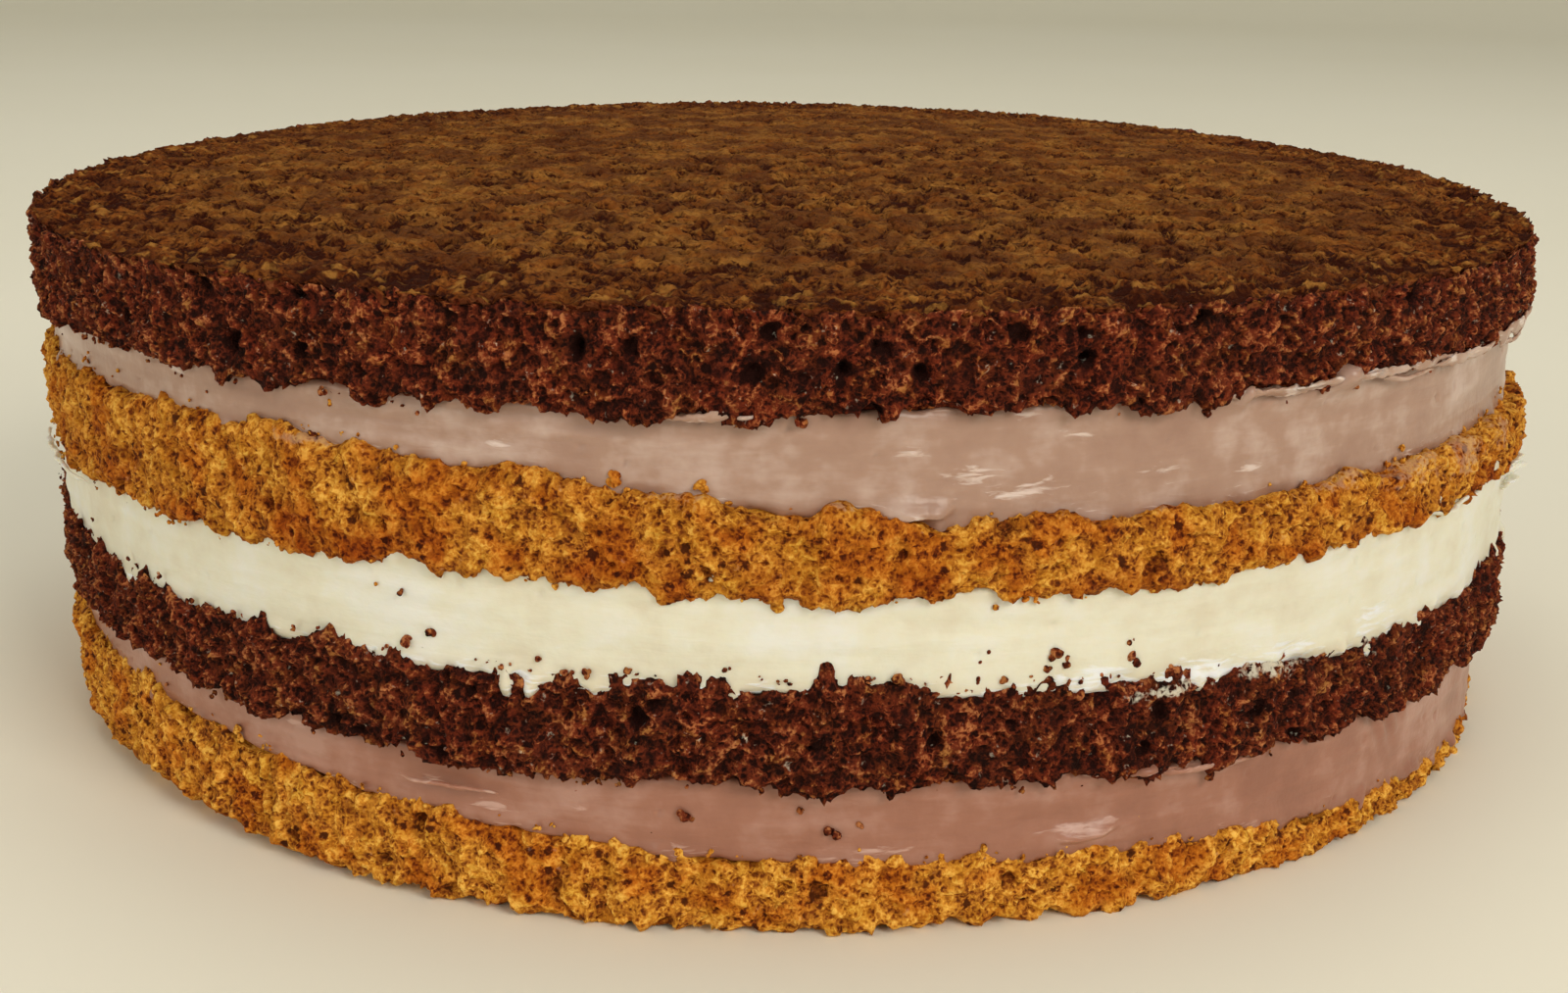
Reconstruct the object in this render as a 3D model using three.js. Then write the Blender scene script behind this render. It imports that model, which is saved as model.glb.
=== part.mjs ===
// A round, uncut and undecorated layer cake, 260 mm across: four sponges with three creams between them.
// Every sponge and every cream is one disc that runs through the whole cake and shows at the side.
// Millimetres, +Z up. The origin is the middle of the cake's flat underside, and the front faces -Y.
import * as THREE from 'three';
import { mergeVertices } from 'three/addons/utils/BufferGeometryUtils.js';

// Driving dimensions
const CAKE_RADIUS = 130; // a 26 cm ring, measured at the top sponge's rim
const STACKING_GAP = 0.3; // clearance between two discs that lie on each other
const SPONGE_COLUMNS = 160; // facets round a sponge
const CREAM_COLUMNS = 96; // facets round a cream
const CREAM_RELIEF = 0.3; // how far a spread cream waves in and out
const CRAG_SIZE = 7; // width of a crag on a sponge's side
const CRAG_DEPTH = 1.0; // how far a crag stands out or a hollow goes in

// Levels between the discs, from the underside up. A bearing is 0 at the front and grows towards +X.
// height is at the middle, lean is the rise at the rim in the bearing of tilt, and wave is the height of
// the crests round the rim: there are as many as crests says, and the first is in the bearing of crest.
const LEVELS = [
  { height: 0, lean: 0, tilt: 0, wave: 0, crests: 0, crest: 0 },
  { height: 11.6, lean: 8.0, tilt: -90, wave: 0.6, crests: 5, crest: -50 },
  { height: 21.8, lean: 2.4, tilt: -90, wave: 0.6, crests: 5, crest: -60 },
  { height: 36.3, lean: 1.9, tilt: -90, wave: 1.2, crests: 4, crest: 2 },
  { height: 49.2, lean: 0.2, tilt: 0, wave: 0.9, crests: 5, crest: -18 },
  { height: 61.6, lean: 4.7, tilt: -90, wave: 1.8, crests: 4, crest: -28 },
  { height: 73.0, lean: 0.8, tilt: 90, wave: 0.5, crests: 3, crest: 10 },
  { height: 87.8, lean: 0.5, tilt: 180, wave: 1.1, crests: 2, crest: 0 },
];

// The discs from the underside up, each between its own level and the next one.
// radius is at the widest, and shift is how far the disc was laid off the middle towards +X.
const DISCS = [
  { name: 'sponge_golden_base', kind: 'sponge', radius: 128.4, shift: 0, colour: 0xc08a38 },
  { name: 'cream_cocoa_lower', kind: 'cream', radius: 127.9, shift: 0.6, colour: 0xa17a66 },
  { name: 'sponge_cocoa_middle', kind: 'sponge', radius: 130.6, shift: 1, colour: 0x4e2415 },
  { name: 'cream_vanilla', kind: 'cream', radius: 129.7, shift: 1, colour: 0xe0d6b8 },
  { name: 'sponge_golden_upper', kind: 'sponge', radius: 131.2, shift: 1, colour: 0xb0712a },
  { name: 'cream_cocoa_upper', kind: 'cream', radius: 128.9, shift: 0, colour: 0xb0917c },
  { name: 'sponge_cocoa_top', kind: 'sponge', radius: 131.4, shift: 0, colour: 0x5a351b },
];
const BASE = DISCS[0];
const TOP = DISCS[DISCS.length - 1];

// The side of a disc from its lower edge to its upper one: [inset from the radius, share of the height].
const SIDES = {
  sponge: [[1.2, 0], [0.3, 0.1], [0, 0.3], [0, 0.5], [0, 0.7], [0.3, 0.9], [1.2, 1]],
  cream: [[0.6, 0], [0.1, 0.2], [0, 0.5], [0.1, 0.8], [0.6, 1]],
};
const TOP_RINGS = [118, 100, 80, 57, 30]; // rings of facets on the top sponge's upper face
const DOME = 1.2; // rise of the top sponge from its rim to its middle
const TOP_WAVE = 0.5; // soft unevenness of the baked top
const TOP_WAVE_SIZE = 26; // width of one of its waves
const FOOT_LIFT = 4.6; // how far the base sponge's lower edge curls up at -X
const FOOT_START = 0.35; // it curls where the sine of the bearing is below minus this
const FOOT_WIDTH = 9; // width of the edge that curls up

const ROUGHNESS = { sponge: 0.95, cream: 0.4 };

// A number from -1 to 1 for a point of a whole-number grid, the same on every run.
function gridValue(ix, iy, iz) {
  let h = Math.imul(ix, 374761393) + Math.imul(iy, 668265263) + Math.imul(iz, 2147483647);
  h = Math.imul(h ^ (h >>> 13), 1274126177);
  h ^= h >>> 16;
  return ((h >>> 0) / 0xffffffff) * 2 - 1;
}

// Smooth noise from -1 to 1, whose lumps are about size wide.
function noise(point, size) {
  const p = [point.x / size, point.y / size, point.z / size];
  const cell = p.map(Math.floor);
  const [u, v, w] = p.map((value, k) => THREE.MathUtils.smoothstep(value - cell[k], 0, 1));
  let sum = 0;
  for (let corner = 0; corner < 8; corner++) {
    const [i, j, k] = [corner & 1, (corner >> 1) & 1, corner >> 2];
    const share = (i ? u : 1 - u) * (j ? v : 1 - v) * (k ? w : 1 - w);
    sum += share * gridValue(cell[0] + i, cell[1] + j, cell[2] + k);
  }
  return sum;
}

// Bearing of a point round the cake: 0 at the front, a quarter turn at +X.
function bearing(x, y) {
  return Math.atan2(x, -y);
}

// Height of a level at a point. It is straight along every line out from the middle.
function levelHeight(level, x, y) {
  const out = Math.hypot(x, y) / CAKE_RADIUS;
  const angle = bearing(x, y);
  const lean = level.lean * Math.cos(angle - THREE.MathUtils.degToRad(level.tilt));
  const wave = level.wave * Math.cos(level.crests * (angle - THREE.MathUtils.degToRad(level.crest)));
  return level.height + out * (lean + wave);
}

// The outline that is turned round the axis: x is the radius, y the share of the disc's height.
function discProfile(disc) {
  const underside = disc === BASE ? [[CAKE_RADIUS - FOOT_WIDTH, 0]] : [];
  const side = SIDES[disc.kind].map(([inset, share]) => [disc.radius - inset, share]);
  const face = disc === TOP ? TOP_RINGS.map((radius) => [radius, 1]) : [];
  const outline = [[0, 0], ...underside, ...side, ...face, [0, 1]];
  return outline.map(([radius, share]) => new THREE.Vector2(radius, share));
}

// How far the base sponge's lower edge curls up off the table at a point of its underside.
function footLift(x, y) {
  const edge = Math.max(0, (Math.hypot(x, y) - (CAKE_RADIUS - FOOT_WIDTH)) / FOOT_WIDTH);
  const side = Math.max(0, -Math.sin(bearing(x, y)) - FOOT_START) / (1 - FOOT_START);
  return FOOT_LIFT * edge * side;
}

// The baked top: a low dome with soft waves that fade out at its rim.
function topRise(point) {
  const out = Math.min(1, Math.hypot(point.x, point.y) / CAKE_RADIUS);
  return (1 - out * out) * DOME + TOP_WAVE * noise(point, TOP_WAVE_SIZE) * (1 - out ** 4);
}

// How far a point of a disc's side moves in or out.
function sideRelief(disc, point) {
  if (disc.kind === 'cream') return CREAM_RELIEF * noise(point, 2 * CRAG_SIZE);
  return CRAG_DEPTH * (noise(point, CRAG_SIZE) + noise(point, CRAG_SIZE / 2));
}

// Turns one disc's outline round the axis, then sets it between its two levels.
function discGeometry(disc, lower, upper) {
  const columns = disc.kind === 'cream' ? CREAM_COLUMNS : SPONGE_COLUMNS;
  const turned = new THREE.LatheGeometry(discProfile(disc), columns).rotateX(Math.PI / 2);
  turned.deleteAttribute('normal');
  turned.deleteAttribute('uv');
  const geometry = mergeVertices(turned, 1e-4);
  const position = geometry.getAttribute('position');
  const sideStart = disc.radius - SIDES[disc.kind][0][0];
  const point = new THREE.Vector3();
  for (let i = 0; i < position.count; i++) {
    point.fromBufferAttribute(position, i);
    const share = point.z;
    const isSide = Math.hypot(point.x, point.y) > sideStart - 1;
    const bottom = levelHeight(lower, point.x, point.y) + (lower.height ? STACKING_GAP : 0);
    const top = levelHeight(upper, point.x, point.y);
    point.z = THREE.MathUtils.lerp(bottom, top, share);
    if (isSide) {
      const scale = 1 + sideRelief(disc, point) / disc.radius;
      point.x *= scale;
      point.y *= scale;
    }
    if (disc === BASE) point.z += (1 - share) * footLift(point.x, point.y);
    if (disc === TOP && share === 1) point.z += topRise(point);
    position.setXYZ(i, point.x + disc.shift, point.y, point.z);
  }
  geometry.computeVertexNormals();
  return geometry;
}

const cake = new THREE.Group();
DISCS.forEach((disc, i) => {
  const material = new THREE.MeshStandardMaterial({
    color: disc.colour,
    roughness: ROUGHNESS[disc.kind],
    metalness: 0,
  });
  const mesh = new THREE.Mesh(discGeometry(disc, LEVELS[i], LEVELS[i + 1]), material);
  mesh.name = disc.name;
  cake.add(mesh);
});

export default cake;
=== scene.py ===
# The looks of a round layer cake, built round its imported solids: torn crumb, spread creams with torn curls,
# a baked skin, crumbs that cling to the sides, and a plain stage with a camera at the photograph's angle.
import math
from typing import NamedTuple

import bmesh
import bpy
import numpy as np
from bpy.props import FloatProperty, FloatVectorProperty, IntProperty, PointerProperty
from mathutils import Euler, Matrix, Vector


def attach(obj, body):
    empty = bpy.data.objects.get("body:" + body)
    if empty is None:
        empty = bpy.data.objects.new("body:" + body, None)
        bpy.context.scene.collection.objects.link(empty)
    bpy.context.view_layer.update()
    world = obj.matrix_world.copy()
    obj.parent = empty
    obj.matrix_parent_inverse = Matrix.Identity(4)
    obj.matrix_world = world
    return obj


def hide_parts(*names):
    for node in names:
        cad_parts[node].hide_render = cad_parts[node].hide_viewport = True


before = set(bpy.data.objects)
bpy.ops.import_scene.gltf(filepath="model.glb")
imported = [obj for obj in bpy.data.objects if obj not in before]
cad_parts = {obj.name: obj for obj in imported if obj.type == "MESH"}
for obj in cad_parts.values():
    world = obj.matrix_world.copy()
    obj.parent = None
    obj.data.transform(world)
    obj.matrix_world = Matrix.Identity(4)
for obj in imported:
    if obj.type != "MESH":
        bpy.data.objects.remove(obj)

bl_info = {
    "name": "Layer Cake",
    "version": (1, 0, 0),
    "blender": (4, 5, 0),
    "location": "3D View > Sidebar > Cake",
    "description": "Builds the sponges, creams, skin and crumbs of a round layer cake",
    "category": "Add Mesh",
}

MM = 0.001  # the cake's own sizes are in millimetres, Blender's are in metres
BODY = "root"
RIM = 130.0  # radius to which the levels are stated, mm
ROUND = 2 * math.pi * RIM  # length of the way round it, mm
FLAT = (1, 1, 0)  # multiplies places to bring them down to the table
TURN = np.array(Euler((0.6, 0.4, 1.1)).to_matrix())  # keeps the noise's grid off the cake's own axes


class Level(NamedTuple):
    """A level between two discs, as the solids have it. Bearings are in degrees, the rest in mm.

    lean is the rise at the rim in the bearing of tilt. wave is the height of the crests round the rim,
    and the first crest is in the bearing of crest. A bearing is 0 at the front and grows towards +X.
    """

    height: float
    lean: float = 0.0
    tilt: float = 0.0
    wave: float = 0.0
    crests: int = 0
    crest: float = 0.0


TABLE = Level(0.0)
OVER_BASE = Level(11.6, 8.0, -90, 0.6, 5, -50)
UNDER_COCOA = Level(21.8, 2.4, -90, 0.6, 5, -60)
OVER_COCOA = Level(36.3, 1.9, -90, 1.2, 4, 2)
UNDER_GOLDEN = Level(49.2, 0.2, 0, 0.9, 5, -18)
OVER_GOLDEN = Level(61.6, 4.7, -90, 1.8, 4, -28)
UNDER_TOP = Level(73.0, 0.8, 90, 0.5, 3, 10)
CAKE_TOP = Level(87.8, 0.5, 180, 1.1, 2, 0)


class Disc(NamedTuple):
    """A sponge or a cream: its CAD node, the levels it lies between, and its place in mm."""

    node: str
    slot: str
    lower: Level
    upper: Level
    radius: float
    shift: float
    seed: int


GOLDEN_BASE = Disc("sponge_golden_base", "golden_sponge", TABLE, OVER_BASE, 128.4, 0.0, 11)
COCOA_LOWER = Disc("cream_cocoa_lower", "cocoa_cream", OVER_BASE, UNDER_COCOA, 127.9, 0.6, 12)
COCOA_MIDDLE = Disc("sponge_cocoa_middle", "cocoa_sponge", UNDER_COCOA, OVER_COCOA, 130.6, 1.0, 13)
VANILLA = Disc("cream_vanilla", "vanilla_cream", OVER_COCOA, UNDER_GOLDEN, 129.7, 1.0, 14)
GOLDEN_UPPER = Disc("sponge_golden_upper", "golden_sponge", UNDER_GOLDEN, OVER_GOLDEN, 131.2, 1.0, 15)
COCOA_UPPER = Disc("cream_cocoa_upper", "cocoa_cream", OVER_GOLDEN, UNDER_TOP, 128.9, 0.0, 16)
COCOA_TOP = Disc("sponge_cocoa_top", "cocoa_sponge", UNDER_TOP, CAKE_TOP, 131.4, 0.0, 17)

# Sizes in mm, where nothing else is said
DOME = 1.2  # rise of the top from its rim to its middle
TOP_WAVE = 0.5  # soft unevenness of the baked top
TOP_WAVE_SIZE = 26  # width of one of its waves
FOOT_LIFT = 4.6  # how far the base sponge's lower edge curls up at -X
FOOT_START = 0.35  # it curls where the sine of the bearing is below minus this
FOOT_WIDTH = 9.0  # width of the edge that curls up
FRINGE = 1.8  # height of the notches in the base's lower edge
SKIN_INSET = 1.2  # how far the skin ends inside the crumb's edge
UNDER_SKIN = 2.2  # how far the crumb stays below the skin's level inside its rim
SKIN_EDGE_ROWS = 3  # rows of faces down the skin's edge
SKIN_FLECKS = ((-52, 85), (-15, 95), (-60, -41))  # places of three ochre flecks on it
COCOA_RISE = 0.9  # how far a cocoa cream reaches past its levels, behind the torn edges
VANILLA_RISE = 1.8  # how far the vanilla cream does, because it meets the raggedest edge
LIP_REACH = 4.0  # how far a curled lip of cream stands out
LIP_RISE = 1.8  # how far it reaches over the sponge
CURL_THICK = 0.7  # thickness of a torn curl of cream
CURL_STAND = 0.9  # how far off the cream's radius its curls begin
CURL_SIDES, CURL_STEPS = 14, 150  # faces round a curl and along it
SMALL_CRUMB = 1.0  # a crumb below this size is made of two plain lumps
CRUMB_LOT = 25  # crumbs that are made together, because a large mesh takes each new one slowly
OPEN_CRUMB, FINE_CRUMB = 1.0, 0.7  # how deep the pores of the cocoa and the golden sponges are, as a share
STREAK_STRETCH = 0.22  # a streak of cream is this much finer up the side than along it


class Spot(NamedTuple):
    """A soft round mark on the side: its bearing in degrees, its height and half sizes in mm, its strength.

    A list of spots holds these numbers, a row for each spot. A list of curls is like it.
    """

    bearing: float
    height: float
    wide: float
    tall: float
    amount: float = 1.0


# The side of a disc, from the middle of its underside to the middle of its upper face.
# Each row is: share of the grid's rows, inset from the radius in mm, share of the thickness.
SPONGE_SIDE = np.array([
    (0.00, 6.0, 0.00), (0.10, 1.2, 0.00), (0.13, 0.4, 0.04), (0.16, 0.0, 0.11),
    (0.84, 0.0, 0.89), (0.87, 0.4, 0.96), (0.90, 1.2, 1.00), (1.00, 6.0, 1.00),
])
CREAM_SIDE = np.array([
    (0.00, 8.0, 0.00), (0.12, 0.6, 0.00), (0.18, 0.1, 0.06),
    (0.82, 0.1, 0.94), (0.88, 0.6, 1.00), (1.00, 8.0, 1.00),
])
FACE_WIDTH = 5.0  # width of the rim of a disc's faces that has relief


def srgb(code):
    """The linear red, green and blue of an sRGB hex colour."""
    parts = [int(code[k:k + 2], 16) / 255 for k in (0, 2, 4)]
    return tuple(c / 12.92 if c <= 0.04045 else ((c + 0.055) / 1.055) ** 2.4 for c in parts)


def count_property(name, count, least, description):
    """A whole number property."""
    return IntProperty(name=name, description=description, default=count, min=least)


def mm_property(name, size, description):
    """A length property whose default is given in mm."""
    return FloatProperty(
        name=name, description=description, default=size * MM, min=0.0, unit="LENGTH", precision=5
    )


def colour_property(name, code, description):
    """A colour property whose default is an sRGB hex colour."""
    return FloatVectorProperty(
        name=name, description=description, default=srgb(code), size=3, min=0.0, max=1.0, subtype="COLOR"
    )


class CakeSizes(bpy.types.PropertyGroup):
    """Sizes of the crumb, the creams and the skin."""

    columns: count_property("Sponge columns", 1840, 64, "Columns of faces round a sponge")
    rows: count_property("Sponge rows", 51, 12, "Rows of faces up a sponge's side")
    cream_columns: count_property("Cream columns", 1500, 64, "Columns of faces round a cream")
    cream_rows: count_property("Cream rows", 40, 12, "Rows of faces up a cream's side")
    skin_cells: count_property("Skin cells", 430, 16, "Faces along each side of the skin's grid")
    pore: mm_property("Pore", 1.9, "Width of the crumb's pores")
    lump: mm_property("Lump", 0.75, "How far the torn crumb stands out in lumps")
    hole: mm_property("Hole", 9.0, "Spacing of the large holes in the crumb")
    rag: mm_property("Rag", 1.7, "How ragged a sponge's edges are")
    spread: mm_property("Spread", 0.4, "Depth of the strokes that spread the cream")
    skin: mm_property("Skin", 2.2, "Thickness of the baked skin")
    pit: mm_property("Pit", 2.6, "Width of the pits in the baked skin")


class CakeColours(bpy.types.PropertyGroup):
    """Colours of the cake, some as it looks in even light and some with painted light and shade in them."""

    # The ridge colours are a painted highlight, where the torn crumb catches the light; the pore colours are
    # painted shade deep in the pores.
    golden_ridge: colour_property("Golden ridge", "E8B04F", "Torn edges of the golden sponge")
    golden_body: colour_property("Golden body", "C7832A", "Golden sponge")
    golden_pore: colour_property("Golden pore", "7A3C10", "Golden sponge deep in its pores")
    base_ridge: colour_property("Base ridge", "F6BF58", "Torn edges of the golden base")
    base_body: colour_property("Base body", "D38E2F", "Golden base, baked paler than the upper sponge")
    base_pore: colour_property("Base pore", "824213", "Golden base deep in its pores")
    cocoa_ridge: colour_property("Cocoa ridge", "B37145", "Torn edges of the cocoa sponge")
    cocoa_body: colour_property("Cocoa body", "6F2D17", "Cocoa sponge")
    cocoa_pore: colour_property("Cocoa pore", "381107", "Cocoa sponge deep in its pores")
    skin_light: colour_property("Skin light", "98662D", "Baked skin of the top, olive-brown")
    skin_dark: colour_property("Skin dark", "683D1C", "Darker patches of the skin")
    # The pit colour is red-brown crumb under painted shade.
    skin_pit: colour_property("Skin pit", "331206", "Pits in the skin")
    skin_edge: colour_property("Skin edge", "B07A38", "Ochre flecks of the skin, most of them by its edge")
    # The creams' light colours are whiter torn cream with painted glints on it; their shade colours are
    # painted shade next to the sponge, with a tint of crumb.
    cocoa_cream: colour_property("Cocoa cream", "AA8979", "Upper cocoa cream")
    cocoa_cream_light: colour_property("Cocoa cream light", "D6C2BB", "Its whipped streaks")
    cocoa_cream_shade: colour_property("Cocoa cream shade", "946F60", "Upper cocoa cream next to the sponge")
    # The lower cream is the same cocoa cream as the upper, made darker and pinker: painted shade and painted
    # pink reflected light.
    lower_cream: colour_property("Lower cream", "A16F5C", "Lower cocoa cream, darker and pinker")
    lower_cream_light: colour_property("Lower cream light", "C29C90", "Its whipped streaks")
    lower_cream_shade: colour_property("Lower cream shade", "885847", "Lower cocoa cream next to the sponge")
    vanilla: colour_property("Vanilla", "E1DECD", "Vanilla cream")
    vanilla_light: colour_property("Vanilla light", "E8EAEE", "Vanilla cream, torn and whiter")
    vanilla_shade: colour_property("Vanilla shade", "D0C4AC", "Vanilla cream next to the sponge")


def hashed(cells, seed):
    """A number from 0 to 1 for each row of whole numbers, the same on every run."""
    mixed = np.full(cells.shape[:-1], seed, np.uint32)
    for axis in range(cells.shape[-1]):
        mixed = (mixed ^ cells[..., axis].astype(np.uint32)) * np.uint32(0x9E3779B1)
        mixed ^= mixed >> np.uint32(15)
        mixed *= np.uint32(0x85EBCA6B)
        mixed ^= mixed >> np.uint32(13)
    return mixed / float(0xFFFFFFFF)


def noise(points, size, seed):
    """Smooth noise from -1 to 1 at points in mm. Its lumps are about size mm across."""
    scaled = points @ TURN / size
    cell = np.floor(scaled).astype(np.int64)
    part = scaled - cell
    part = part * part * (3 - 2 * part)
    total = np.zeros(len(points))
    for corner in np.ndindex(2, 2, 2):
        share = np.where(corner, part, 1 - part).prod(axis=1)
        total += share * hashed(cell + np.array(corner), seed)
    return total * 2 - 1


def net(points, size, seed):
    """A net of thin walls, where smooth noise crosses zero: 0 on a wall and 1 in a cell, size mm wide."""
    return np.minimum(2.6 * np.abs(noise(points, size, seed)), 1)


def warp(points, size, seeds):
    """Smooth noise for each of the three directions, from a seed each."""
    return np.stack([noise(points, size, seed) for seed in seeds], axis=1)


def bubbles(across, up, size, seed, small, large, chance, turn=None):
    """How deep round bubbles cut into a surface, in mm, at places on it in mm.

    They lie about size apart and have a radius from small to large times that. chance is the share of
    places that have one. turn is the way round, so that the pattern closes on itself.
    """
    steps = round(turn / size) if turn else 0
    wide = turn / steps if turn else size
    column = np.floor(across / wide).astype(np.int64)
    row = np.floor(up / size).astype(np.int64)
    depth = np.zeros(len(across))
    for i in (-1, 0, 1):
        for j in (-1, 0, 1):
            cell = np.stack([(column + i) % steps if turn else column + i, row + j], axis=-1)
            middle_x = (column + i + 0.1 + 0.8 * hashed(cell, seed)) * wide
            middle_y = (row + j + 0.1 + 0.8 * hashed(cell, seed + 1)) * size
            radius = size * (small + (large - small) * hashed(cell, seed + 2))
            radius = radius * (hashed(cell, seed + 3) < chance)
            inside = radius ** 2 - (across - middle_x) ** 2 - (up - middle_y) ** 2
            depth = np.maximum(depth, np.sqrt(np.maximum(inside, 0)))
    return depth


def smoothstep(low, high, values):
    """0 below low, 1 above high, and a smooth rise between them."""
    share = np.clip((values - low) / (high - low), 0, 1)
    return share * share * (3 - 2 * share)


def spotted(bearing, height, spots):
    """The strength of soft round marks at bearings in degrees and heights in mm."""
    total = np.zeros(len(bearing))
    for spot in (Spot(*row) for row in spots):
        across = (bearing - spot.bearing + 180) % 360 - 180
        across = across * math.radians(RIM) / spot.wide
        total += spot.amount * np.exp(-across ** 2 - ((height - spot.height) / spot.tall) ** 2)
    return total


def bearing_of(points):
    """The bearing of points in radians: 0 at the front, and it grows towards +X."""
    return np.arctan2(points[:, 0], -points[:, 1])


def distance_out(points):
    """How far points are from the cake's axis."""
    return np.hypot(points[:, 0], points[:, 1])


def outward(angle):
    """The level direction away from the axis, at bearings in radians."""
    return np.stack([np.sin(angle), -np.cos(angle), np.zeros(len(angle))], axis=1)


def level_height(level, points):
    """Height in mm of a level at points in mm. It is straight along every line out from the middle."""
    out = distance_out(points) / RIM
    angle = bearing_of(points)
    lean = level.lean * np.cos(angle - math.radians(level.tilt))
    wave = level.wave * np.cos(level.crests * (angle - math.radians(level.crest)))
    return level.height + out * (lean + wave)


def foot_lift(points):
    """How far the base sponge's lower edge curls up off the table, in mm."""
    edge = np.clip((distance_out(points) - (RIM - FOOT_WIDTH)) / FOOT_WIDTH, 0, None)
    side = np.clip(-np.sin(bearing_of(points)) - FOOT_START, 0, None) / (1 - FOOT_START)
    return FOOT_LIFT * edge * side


def read_vectors(piece, kind):
    """One vector for each vertex of a piece: co is its place in metres and normal the way it faces."""
    flat = np.empty(len(piece.data.vertices) * 3)
    piece.data.vertices.foreach_get(kind, flat)
    return flat.reshape(-1, 3)


def read_points(piece):
    """The places of a piece's vertices, in mm."""
    return read_vectors(piece, "co") / MM


def write_points(piece, points):
    """Moves a piece's vertices to places in mm."""
    piece.data.vertices.foreach_set("co", (points * MM).ravel())
    piece.data.update()


def swell_out(piece, points, relief):
    """Moves a piece's vertices to places in mm, and then out by a relief in mm along the way they face."""
    write_points(piece, points)
    moved = points + read_vectors(piece, "normal") * relief[:, None]
    write_points(piece, moved)
    return moved


def write_values(piece, **values):
    """Stores named numbers for each vertex, for the material to read."""
    for name, numbers in values.items():
        stored = piece.data.attributes.new(name, "FLOAT", "POINT")
        stored.data.foreach_set("value", numbers.astype(np.float32))


def finished(name, shape):
    """Turns a bmesh into an object of the scene."""
    mesh = bpy.data.meshes.new(name)
    shape.to_mesh(mesh)
    shape.free()
    mesh.polygons.foreach_set("use_smooth", [True] * len(mesh.polygons))
    piece = bpy.data.objects.new(name, mesh)
    bpy.context.scene.collection.objects.link(piece)
    return piece


def belong(piece, material, slot, *nodes):
    """Gives a piece its material and the body it rides on, and hides the CAD nodes it stands for. slot is not
    used.
    """
    piece.data.materials.append(material)
    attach(piece, BODY)
    if nodes:
        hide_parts(*nodes)


def close_hole(shape, edges):
    """Closes a round hole with a fan of triangles."""
    cap = bmesh.ops.edgeloop_fill(shape, edges=edges)
    bmesh.ops.poke(shape, faces=cap["faces"])


def unit_drum(columns, rows):
    """A closed drum of radius 1, whose side is a grid of faces from z = 0 to z = 1."""
    shape = bmesh.new()
    bmesh.ops.create_grid(shape, x_segments=columns, y_segments=rows, size=0.5)
    for vert in shape.verts:
        angle = 2 * math.pi * vert.co.x
        vert.co = (math.sin(angle), -math.cos(angle), vert.co.y + 0.5)
    bmesh.ops.remove_doubles(shape, verts=shape.verts, dist=1e-6)
    open_edges = [edge for edge in shape.edges if edge.is_boundary]
    close_hole(shape, [edge for edge in open_edges if edge.verts[0].co.z < 0.5])
    close_hole(shape, [edge for edge in open_edges if edge.verts[0].co.z > 0.5])
    bmesh.ops.recalc_face_normals(shape, faces=shape.faces)
    return shape


class Side(NamedTuple):
    """Where each vertex of a disc lies: its place in mm and its bearing in degrees.

    share is 0 at the disc's lower face and 1 at its upper one. rim is 1 on the side and 0 further in.
    """

    points: np.ndarray
    bearing: np.ndarray
    share: np.ndarray
    rim: np.ndarray


def lay_disc(piece, disc, profile, rise=0.0):
    """Sets a unit drum between a disc's two levels. rise is how far it reaches past them, in mm."""
    unit = read_points(piece) * MM
    angle = bearing_of(unit)
    inset = np.interp(unit[:, 2], profile[:, 0], profile[:, 1])
    share = np.interp(unit[:, 2], profile[:, 0], profile[:, 2])
    radius = distance_out(unit) * (disc.radius - inset)
    points = outward(angle) * radius[:, None]
    lower = level_height(disc.lower, points) - rise
    upper = level_height(disc.upper, points) + rise
    points[:, 2] = lower + (upper - lower) * share
    points[:, 0] += disc.shift
    rim = smoothstep(disc.radius - FACE_WIDTH, disc.radius - FACE_WIDTH / 3, radius)
    return Side(points, np.degrees(angle), share, rim)


def crumb_lumps(points, disc, sizes):
    """How far the torn crumb stands out in lumps, in mm."""
    lumps = noise(points, 8, disc.seed + 22) + 0.8 * noise(points, 3.2, disc.seed + 23)
    return sizes.lump / MM * (lumps + 0.5 * noise(points, 1.5, disc.seed + 24)) + 0.5


def crumb_relief(side, disc, sizes, coarse, holes, filled):
    """How far a torn crumb stands out, in mm, and how deep each place lies in a pore, from 0 to 2.

    The crumb is a net of thin walls with large holes in it. coarse is 1 for an open crumb and less for a
    fine one, and filled is how far cream fills the pores.
    """
    points = side.points
    pore = sizes.pore / MM
    shift = warp(points, pore * 0.6, (disc.seed + 20, disc.seed + 21, disc.seed + 25))
    warped = points + 0.35 * pore * shift
    wide = net(warped, pore, disc.seed + 30)
    narrow = net(warped, pore * 0.55, disc.seed + 31)
    across = np.radians(side.bearing) * RIM + pore * 0.3 * shift[:, 0]
    up = points[:, 2] + pore * 0.3 * shift[:, 1]
    large = bubbles(across, up, sizes.hole / MM, disc.seed + 50, 0.08, 0.17, 0.45 * coarse, ROUND)
    cut = coarse * (0.9 * wide + 0.5 * narrow) + 1.1 * large
    cut = (cut + 3.2 * spotted(side.bearing, points[:, 2], holes)) * (1 - filled)
    return crumb_lumps(points, disc, sizes) - cut, np.clip(cut / 1.5, 0, 2)


def torn_edge(side, seed):
    """A ragged line round the side, from -1 to 1, that is the same all the way up it."""
    ring = side.points * FLAT
    return 0.8 * noise(ring, 6, seed) + 0.6 * noise(ring, 2.8, seed + 1) + 0.2 * noise(ring, 1.5, seed + 2)


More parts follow.
